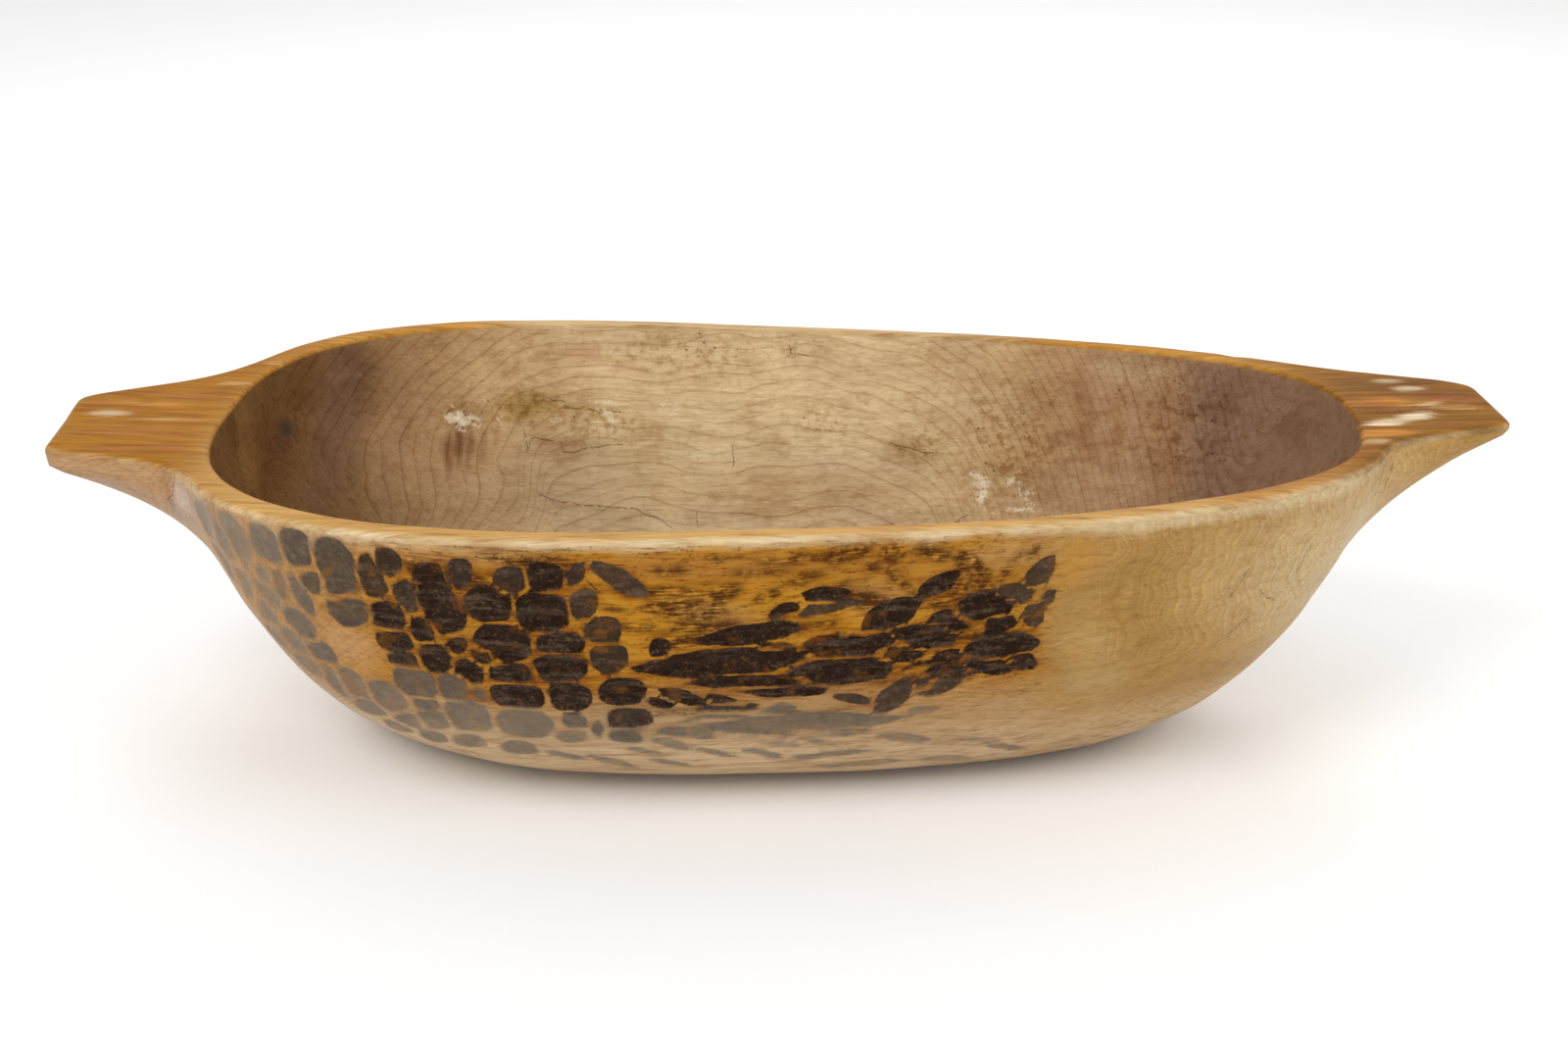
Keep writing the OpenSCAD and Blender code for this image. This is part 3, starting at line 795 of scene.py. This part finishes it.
def rim_tone(skin):
    """The colour of the rim and the tops of the handles; its pale outer edge is partly wear and partly
    painted highlight.
    """
    x, y = skin.x, skin.y
    rows = np.cumsum((0, OUTER_EDGE_ROWS, FLAT_ROWS, INNER_EDGE_ROWS))
    across = np.interp(np.cumsum(skin.top[:, 0]), rows, (0, 0.4, 0.75, 1))
    uneven = np.clip(0.75 + 0.5 * skin.broad + 0.4 * skin.patchy, 0, 1)
    # Partly wear, partly painted highlight: the outer part of the rim is paler
    worn_and_highlight = smooth_step(0.36, 0.14, across)[:, None] * uneven
    far_middle = smooth_step(-190, -140, x) * smooth_step(150, 90, x) * smooth_step(60, 110, y)
    tone = np.broadcast_to(linear(RIM), (*x.shape, 3))
    for paint, amount in (
        (FAR_RIM, smooth_step(-20, 60, y) * 0.9),
        (HANDLE, smooth_step(250, HANDLES_END, -x)),
        (NARROW_HANDLE, smooth_step(225, 285, x)),
        (RIM_WORN_AND_HIGHLIGHT, worn_and_highlight * (1 - skin.at_handles * 0.45) * 0.85),
        (FAR_RIM_MIDDLE, far_middle * 0.9),
    ):
        tone = blended(tone, paint, amount)
    streaky = soft_noise(skin.mm, (60, 4, 20), 35) + 0.5 * soft_noise(skin.mm, (34, 1.8, 20), 36)
    tone = patched(tone, skin.wx + 6 * streaky, skin.wy + 2.5 * streaky, HANDLE_PATCHES, 1, 3)
    return tone * (1 + np.where(x < 0, 0.18, 0.5) * streaky * skin.at_handles)[..., None]


def growth_rings(skin, surface):
    """Where each point lies among the growth rings, and how far these give way to pale ripples."""
    x, h = skin.x, skin.h
    rings = ring_distance(skin.mm, surface) / (surface.ring_spacing / MM)
    far_wall = skin.inside * smooth_step(10, 70, skin.y)
    rings = rings + (far_wall_rings(x, h, skin.mm) - rings) * far_wall
    figure = skin.outside * skin.front_share ** 2 * smooth_step(128, 150, x) * smooth_step(52, 84, h)
    bent = x + 3.2 * np.sin(h / 8.5) + 1.6 * np.sin(h / 3.7 + x / 11)
    ripple = (bent + 5 * soft_noise(skin.mm, (16, 16, 22), 34)) / RIPPLE
    return rings + (ripple - rings) * figure, figure


def moved_out(skin, fields, surface):
    """How far each point stands out from the smooth bowl, in millimetres."""
    hollow = 1 - (1 - np.clip(-fields["mark_edge"] / HOLLOW_SLOPE, 0, 1)) ** 2
    hewn = soft_noise(skin.mm, (46, 30, 30), 11) + 0.35 * soft_noise(skin.mm, 15, 12)
    rough = np.where(skin.outside, 1, np.where(skin.inside, 0.5, 0.45))
    grounded = np.where(skin.outside, smooth_step(1, BASE_EDGE, skin.h), 1)
    move = (surface.waviness * rough * hewn - surface.gouge_depth * hollow) / MM * grounded
    notch = smooth_step(0, -4, round_edge(skin.x, skin.h, NOTCH)) * skin.front_wall
    nick = smooth_step(0, -7, round_edge(skin.x, skin.y, NICK)) * skin.top
    chip = np.clip(-fields["chip_edge"] / 2, 0, 1)
    return move - NOTCH_DEPTH * notch - NICK_DEPTH * nick - CHIP_DEPTH * chip


def carve(points, heights, faces, surface):
    """Carves and stains the bowl. Returns how far each point moves out, its colour and its fields."""
    skin = Skin(points, heights, faces)
    outer, stain = outside_tone(skin)
    tone = np.where(skin.top[..., None], rim_tone(skin), outer)
    tone = np.where(skin.inside[..., None], inside_tone(skin), tone)
    tone = tone * (1 + 0.07 * skin.broad + 0.06 * skin.patchy)[..., None]
    rings, figure = growth_rings(skin, surface)
    fields = {
        **burnt_marks(skin), **small_marks(skin), "ring": rings, "figure": figure,
        "stain": np.where(skin.outside, stain, 0), "inside": skin.inside * 1.0, "top": skin.top * 1.0,
        "low": skin.outside * smooth_step(56, 24, skin.h),
    }
    return moved_out(skin, fields, surface) * MM, tone, fields


def outward(points):
    """Unit normals of a grid of rings whose first and last columns are the same."""
    ring = points[:, :-1]
    round_way = np.roll(ring, -1, 1) - np.roll(ring, 1, 1)
    up_way = np.gradient(ring, axis=0)
    normal = np.cross(round_way, up_way)
    normal /= np.maximum(np.linalg.norm(normal, axis=-1), 1e-12)[..., None]
    return np.concatenate([normal, normal[:, :1]], 1)


# ----------------------------------------
# Shader maths
# ----------------------------------------

class Wire:
    """A value or colour that runs between shader nodes, with Python's own arithmetic."""

    def __init__(self, finish, socket):
        self.finish, self.socket = finish, socket

    def maths(self, operation, *inputs):
        return self.finish.node("ShaderNodeMath", {"operation": operation}, dict(enumerate(inputs)))

    def __add__(self, other): return self.maths("ADD", self, other)
    def __sub__(self, other): return self.maths("SUBTRACT", self, other)
    def __rsub__(self, other): return self.maths("SUBTRACT", other, self)
    def __mul__(self, other): return self.maths("MULTIPLY", self, other)
    def __truediv__(self, other): return self.maths("DIVIDE", self, other)
    def __abs__(self): return self.maths("ABSOLUTE", self)
    __radd__, __rmul__ = __add__, __mul__

    def clamped(self): return self.finish.node("ShaderNodeClamp", {}, {"Value": self})
    def fraction(self): return self.maths("FRACT", self)

    def step(self, low, high):
        """0 below low and 1 above high, with a smooth rise; low may be the higher number."""
        if low > high:
            return 1 - self.step(high, low)
        return self.finish.node(
            "ShaderNodeMapRange", {"interpolation_type": "SMOOTHSTEP"},
            {"Value": self, "From Min": low, "From Max": high})

    def mixed(self, other, amount, blend="MIX"):
        """This colour blended with another by an amount."""
        return self.finish.node(
            "ShaderNodeMix", {"data_type": "RGBA", "blend_type": blend}, {0: amount, 6: self, 7: other}, 2)

    def tinted(self, tint, amount=1.0):
        """This colour multiplied by a tint, by an amount."""
        return self.mixed(tint, amount, "MULTIPLY")


PIT_CELL = 1 / 230                # metres from one worm pit to the next, if none were left out


class Finish:
    """A material whose nodes are made by expressions."""

    def __init__(self, name):
        self.material = bpy.data.materials.new(name)
        self.material.use_nodes = True
        self.nodes, self.links = self.material.node_tree.nodes, self.material.node_tree.links
        self.shader = self.nodes["Principled BSDF"]

    def node(self, kind, settings, sockets, output=0):
        """Adds a node: its settings first, then the values or links of its sockets."""
        made = self.nodes.new(kind)
        for key, value in settings.items():
            if key == "stops":
                ramp = made.color_ramp.elements
                while len(ramp) < len(value):
                    ramp.new(0.5)
                for element, (place, grey) in zip(ramp, value):
                    element.position, element.color = place, (grey, grey, grey, 1)
            else:
                setattr(made, key, value)
        self.connect(made, sockets)
        return Wire(self, made.outputs[output])

    def connect(self, made, sockets):
        for key, value in sockets.items():
            socket = made.inputs[key]
            if isinstance(value, Wire):
                self.links.new(value.socket, socket)
            elif socket.type == "RGBA" and len(value) == 3:
                socket.default_value = (*value, 1)
            else:
                socket.default_value = value

    def field(self, name, output="Fac"):
        return self.node("ShaderNodeAttribute", {"attribute_name": name}, {}, output)

    def places(self, stretch=(1, 1, 1)):
        """Object coordinates in metres, squeezed or stretched along each axis."""
        here = self.node("ShaderNodeTexCoord", {}, {}, "Object")
        return self.node("ShaderNodeMapping", {}, {"Vector": here, "Scale": stretch})

    def clouds(self, size, detail=2.0, rough=0.5, stretch=(1, 1, 1)):
        """Noise from 0 to 1 with features about size metres across."""
        return self.node(
            "ShaderNodeTexNoise", {}, {"Vector": self.places(stretch), "Scale": 1 / size, "Detail": detail,
                                       "Roughness": rough})

    def cells(self, size, output):
        """Random cells about size metres across."""
        return self.node("ShaderNodeTexVoronoi", {}, {"Vector": self.places(), "Scale": 1 / size}, output)

    def uneven(self, value, seed):
        """Noise from 0 to 1 along one value."""
        return self.node(
            "ShaderNodeTexNoise", {"noise_dimensions": "1D"},
            {"W": value + seed, "Scale": 1.0, "Detail": 1.0})

    def ramp(self, value, stops):
        return self.node("ShaderNodeValToRGB", {"stops": stops}, {"Fac": value})


def weathered_wood(colours):
    """Oiled and scorched wood: growth rings, fibres, burnt hollows, chips, pits and cracks."""
    wood = Finish("weathered_wood")
    fine, speck = wood.clouds(0.0016, 3), wood.clouds(0.0045, 4, 0.6)
    middling, grime = wood.clouds(0.012, 4, 0.55), wood.clouds(0.022, 5, 0.65, (0.7, 1, 1))
    fibre, streak = wood.clouds(0.0011, 3, 0.6, (0.07, 1, 1)), wood.clouds(0.004, 3, 0.6, (0.12, 1, 1))
    mottle = wood.clouds(0.05, 4, 0.5, (0.5, 1, 1))
    stain, inside, top = map(wood.field, ("stain", "inside", "top"))
    low, figure, pits = map(wood.field, ("low", "figure", "pits"))
    smoke, char, ember, ash_and_sheen, pale, dirt_and_shadow_line = map(tuple, (
        colours.smoke, colours.char, colours.ember, colours.ash_and_sheen, colours.chip, colours.crack_and_shadow_line))

    # Growth rings, each with its own width and strength
    ring = wood.field("ring") + ((middling - 0.5) * 0.65 + (speck - 0.5) * 0.2) * (1 - 0.72 * inside)
    phase = (ring + wood.uneven(ring * 0.3, 3.0) * (2.2 - 1.2 * inside)).fraction()
    late = wood.ramp(phase, ((0, 0), (0.5, 0.12), (0.86, 1), (0.95, 0.75), (1, 0)))
    thin = wood.ramp(phase, ((0, 0.1), (0.6, 0.06), (0.84, 0.3), (0.93, 1), (1, 0.1)))
    late = late * (1 - inside) + thin * inside
    strength = wood.uneven(ring * 0.6, 11.0).step(0.3, 0.7) * (0.8 - 0.3 * inside) + 0.25 + 0.3 * inside
    line = late * strength
    contrast = (0.62 * inside + 0.26 * (1 - inside) + 0.10 * top) * (1 - figure)

    # Signed distances in millimetres, roughened along the grain
    ragged = (fine - 0.5) * 1.6 + (speck - 0.5) * 2.2 + (streak - 0.5) * 3.0
    edge, grey, dark = map(wood.field, ("mark_edge", "mark_grey", "mark_dark"))
    mark = ((edge + ragged * (wood.field("mark_ragged") + grey * 0.3)) / (0.45 + grey * 1.3)).step(1, -1)
    halo = (edge + (speck - 0.5) * 12).step(5, -1)
    smudge = (wood.field("smudge_edge") + ragged * 1.6 + (fibre - 0.5) * 5).step(1.6, -2.2)
    chip = (wood.field("chip_edge") + ragged * 2.0 + (fine - 0.5) * 5).step(0.4, -1.0)
    crack_and_shadow_line = abs(wood.field("crack_side") + (speck - 0.5) * 2.4 + (middling - 0.5) * 4.0).step(0.45, 0.1)
    crack_and_shadow_line = crack_and_shadow_line * wood.field("crack_near").step(0.5, 0.75) * speck.step(0.36, 0.5)
    chance = wood.node("ShaderNodeTexWhiteNoise", {}, {"Vector": wood.cells(PIT_CELL, "Position")}, "Value")
    pit = wood.cells(PIT_CELL, "Distance").step(0.2, 0.1) * (chance - 1 + pits * 0.3).step(0, 0.02)

    base = wood.field("tone", "Color")
    scorch = (streak * 0.6 + mottle * 0.4 + (fibre - 0.5) * 0.3).step(0.5, 0.68)
    for tint, amount in (
        # Growth rings and pale ripples
        ((0.52, 0.36, 0.22), line * contrast),
        ((1.25, 1.28, 1.3), late * figure * speck.step(0.35, 0.6) * 0.55),
        ((0.86, 0.76, 0.55), phase.step(0.3, 0.55) * phase.step(0.75, 0.6) * figure * 0.5),
        # Grime and clean spots inside
        ((0.7, 0.6, 0.5), grime.step(0.5, 0.66) * inside * 0.55),
        ((1.14, 1.16, 1.18), grime.step(0.48, 0.36) * inside * 0.6),
        ((0.72, 0.62, 0.5), speck.step(0.5, 0.64) * inside * 0.3),
        # Dark and pale fibres, streaks and mottles
        ((0.62, 0.50, 0.40), fibre.step(0.5, 0.74) * (0.5 + 0.3 * stain)),
        ((1.2, 1.22, 1.24), fibre.step(0.47, 0.28) * 0.75),
        ((0.66, 0.52, 0.36), streak.step(0.5, 0.66) * (0.3 + 0.3 * top)),
        ((1.16, 1.22, 1.3), streak.step(0.48, 0.32) * (0.3 + 0.55 * top)),
        ((0.72, 0.6, 0.5), mottle.step(0.5, 0.75) * 0.5),
        ((0.66, 0.6, 0.56), (streak * 0.6 + fibre * 0.4).step(0.5, 0.62) * low * 0.6),
        # Scorching round the marks
        ((0.55, 0.42, 0.3), scorch * stain * 0.55),
        ((0.62, 0.42, 0.2), halo * streak.step(0.4, 0.56) * stain * 0.8),
    ):
        base = base.tinted(tint, amount)
    base = base.mixed(smoke, (fine * 0.5 + speck * 0.3 + fibre * 0.4).step(0.62, 0.74) * stain * 0.5)
    uneven_smoke = (0.72 + (fibre - 0.5) * 3.0 + (speck - 0.5) * 3.5).clamped()
    base = base.mixed(smoke, smudge * uneven_smoke * 0.95)

    # Burnt wood: black char with brown spots, greyed partly as ash and partly as painted light (painted
    # reflection low on the wall, painted highlights at the wide end and in the grey speckles), with some bare
    # wood showing through
    brown = (fine * 0.7 + speck * 0.5 + (streak - 0.5) * 0.5).step(0.56, 0.82)
    burnt = wood.node("ShaderNodeMix", {"data_type": "RGBA"}, {0: brown, 6: char, 7: ember}, 2)
    ash_and_sheen_share = grey + (speck - 0.5) * 0.7 * (grey + 0.15)
    ash_and_sheen_share = ash_and_sheen_share + fine.step(0.6, 0.7) * 0.08 + streak.step(0.48, 0.66) * 0.08
    burnt = burnt.mixed(ash_and_sheen, ash_and_sheen_share.clamped())
    burnt = burnt.mixed(base.tinted((0.5, 0.42, 0.36)), middling.step(0.56, 0.7) * 0.6)
    gone = grey * (fibre.step(0.42, 0.62) * 0.4 + middling.step(0.46, 0.62) * 0.45)
    base = base.mixed(burnt, mark * dark * (1 - gone))
    base = base.tinted((0.66, 0.52, 0.36), speck.step(0.45, 0.62) * pits * inside * 0.75)
    base = base.mixed(pale, chip * (0.45 + fine.step(0.46, 0.56) * 0.5))
    # Dirt in the cracks and pits, and the painted shadow line at the corner of the wide handle
    base = base.mixed(dirt_and_shadow_line, (crack_and_shadow_line * (0.5 + 0.4 * stain) + pit * 0.6).clamped())

    rough = 0.36 + 0.10 * (mottle - 0.5) + 0.12 * inside + 0.08 * line
    rough = rough + 0.14 * mark * (1 - grey) + 0.2 * chip
    height = (fibre - 0.5) * 0.10 - line * 0.05 - crack_and_shadow_line * 0.5 - pit * 0.6
    height = height + mark * ((speck - 0.5) * 0.35 + (fine - 0.5) * 0.2 - 0.12) - smudge * 0.04
    bump = wood.node("ShaderNodeBump", {}, {"Height": height, "Distance": 0.0012, "Strength": 0.55})
    wood.connect(wood.shader, {"Base Color": base, "Roughness": rough, "Normal": bump, "IOR": 1.45,
                               "Specular IOR Level": 0.05})
    return wood.material


# ----------------------------------------
# Operators
# ----------------------------------------

class OBJECT_OT_carved_bowl(bpy.types.Operator):
    """Makes the bowl from a grid wrapped round its rings, then carves, stains and oils it"""
    bl_idname = "object.carved_bowl"
    bl_label = "Carved Bowl"

    def execute(self, context):
        scene = context.scene
        surface = scene.bowl_surface
        shape = BowlShape(scene.bowl_sizes, scene.wide_handle, scene.narrow_handle)
        points, heights, faces = bowl_rings(shape, surface)
        move, tone, fields = carve(points, heights, faces, surface)
        points = points + outward(points) * move[..., None]
        points[..., 2] = np.maximum(points[..., 2], 0)
        rows, columns = len(points) - 1, points.shape[1] - 1

        bpy.ops.object.select_all(action="DESELECT")
        bpy.ops.mesh.primitive_grid_add(x_subdivisions=columns, y_subdivisions=rows, size=1)
        bowl = context.object
        bowl.name = bowl.data.name = "carved_bowl"
        mesh = bowl.data
        flat = np.empty(len(mesh.vertices) * 3)
        mesh.vertices.foreach_get("co", flat)
        flat = flat.reshape(-1, 3)
        column = np.rint((flat[:, 0] + 0.5) * columns).astype(int)
        row = np.rint((flat[:, 1] + 0.5) * rows).astype(int)
        mesh.vertices.foreach_set("co", points[row, column].ravel())
        for name, values in fields.items():
            mesh.attributes.new(name, "FLOAT", "POINT").data.foreach_set(
                "value", values[row, column].astype(np.float32))
        rgba = np.ones((len(flat), 4), np.float32)
        rgba[:, :3] = np.clip(tone[row, column], 0, 1)
        mesh.attributes.new("tone", "FLOAT_COLOR", "POINT").data.foreach_set("color", rgba.ravel())
        while mesh.uv_layers:
            mesh.uv_layers.remove(mesh.uv_layers[0])

        bpy.ops.object.mode_set(mode="EDIT")
        bpy.ops.mesh.select_all(action="SELECT")
        bpy.ops.mesh.remove_doubles(threshold=1e-6)
        bpy.ops.mesh.normals_make_consistent(inside=False)
        bpy.ops.object.mode_set(mode="OBJECT")
        bpy.ops.object.shade_smooth()
        bowl.location = (0, 0, 0)
        bowl.data.materials.append(weathered_wood(scene.bowl_colours))
        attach(bowl, "root")
        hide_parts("bowl")
        return {"FINISHED"}


class OBJECT_OT_bowl_stage(bpy.types.Operator):
    """Makes the pale floor, the soft lights and the camera"""
    bl_idname = "object.bowl_stage"
    bl_label = "Stage"

    def execute(self, context):
        scene, stage = context.scene, context.scene.bowl_stage
        bpy.ops.object.select_all(action="DESELECT")
        bpy.ops.mesh.primitive_circle_add(vertices=96, radius=stage.floor_size / 2, fill_type="NGON")
        floor = context.object
        floor.name = floor.data.name = "floor"
        paint = Finish("pale_floor")
        paint.connect(paint.shader, {"Base Color": tuple(stage.floor_colour), "Roughness": 0.9})
        floor.data.materials.append(paint.material)

        world = bpy.data.worlds.new("studio")
        world.use_nodes = True
        light = world.node_tree.nodes["Background"].inputs
        light["Color"].default_value = (1, 1, 1, 1)
        light["Strength"].default_value = stage.sky
        scene.world = world
        for name, place, size, watts in (
            ("key_light", (-1.3, -1.6, 2.2), 1.6, stage.key),
            ("fill_light", (1.6, -1.0, 1.8), 1.4, stage.key * 0.4),
            ("back_light", (0.2, 1.8, 1.9), 1.4, stage.key * 0.4),
        ):
            lamp = bpy.data.lights.new(name, "AREA")
            lamp.shape, lamp.size, lamp.energy = "DISK", size, watts
            holder = bpy.data.objects.new(name, lamp)
            holder.location = place
            towards = LIT_POINT - Vector(place)
            holder.rotation_euler = towards.to_track_quat("-Z", "Y").to_euler()
            scene.collection.objects.link(holder)

        forward = Vector((math.sin(stage.turn) * math.cos(stage.elevation),
                          math.cos(stage.turn) * math.cos(stage.elevation), -math.sin(stage.elevation)))
        camera_data = bpy.data.cameras.new("camera")
        camera_data.lens, camera_data.sensor_width = stage.lens, SENSOR_WIDTH
        camera = bpy.data.objects.new("camera", camera_data)
        camera.location = Vector((stage.aim_along, 0, stage.aim_height)) - forward * stage.distance
        camera.rotation_euler = (forward.to_track_quat("-Z", "Y").to_matrix()
                                 @ Matrix.Rotation(stage.roll, 3, "Z")).to_euler()
        scene.collection.objects.link(camera)
        scene.camera = camera
        scene.view_settings.view_transform = "Standard"
        return {"FINISHED"}


class VIEW3D_PT_bowl(bpy.types.Panel):
    """Lists the bowl's operators and sizes"""
    bl_idname = "VIEW3D_PT_bowl"
    bl_label = "Carved Bowl"
    bl_space_type = "VIEW_3D"
    bl_region_type = "UI"
    bl_category = "Bowl"

    def draw(self, context):
        for operator in OPERATORS:
            self.layout.operator(operator.bl_idname)
        for name in GROUPS:
            group = getattr(context.scene, name)
            box = self.layout.box()
            for key in group.__annotations__:
                box.prop(group, key)


OPERATORS = (OBJECT_OT_carved_bowl, OBJECT_OT_bowl_stage)
GROUPS = {
    "bowl_sizes": BowlSizes, "wide_handle": WideHandleSizes, "narrow_handle": NarrowHandleSizes,
    "bowl_surface": BowlSurface, "bowl_colours": BowlColours, "bowl_stage": StageSettings,
}


def register():
    for group in GROUPS.values():
        bpy.utils.register_class(group)
    for name, group in GROUPS.items():
        setattr(bpy.types.Scene, name, bpy.props.PointerProperty(type=group))
    for made in (*OPERATORS, VIEW3D_PT_bowl):
        bpy.utils.register_class(made)


def unregister():
    for made in (VIEW3D_PT_bowl, *reversed(OPERATORS)):
        bpy.utils.unregister_class(made)
    for name in GROUPS:
        delattr(bpy.types.Scene, name)
    for group in reversed(GROUPS.values()):
        bpy.utils.unregister_class(group)


def main():
    register()
    bpy.ops.object.carved_bowl()
    bpy.ops.object.bowl_stage()


if __name__ == "__main__":
    main()
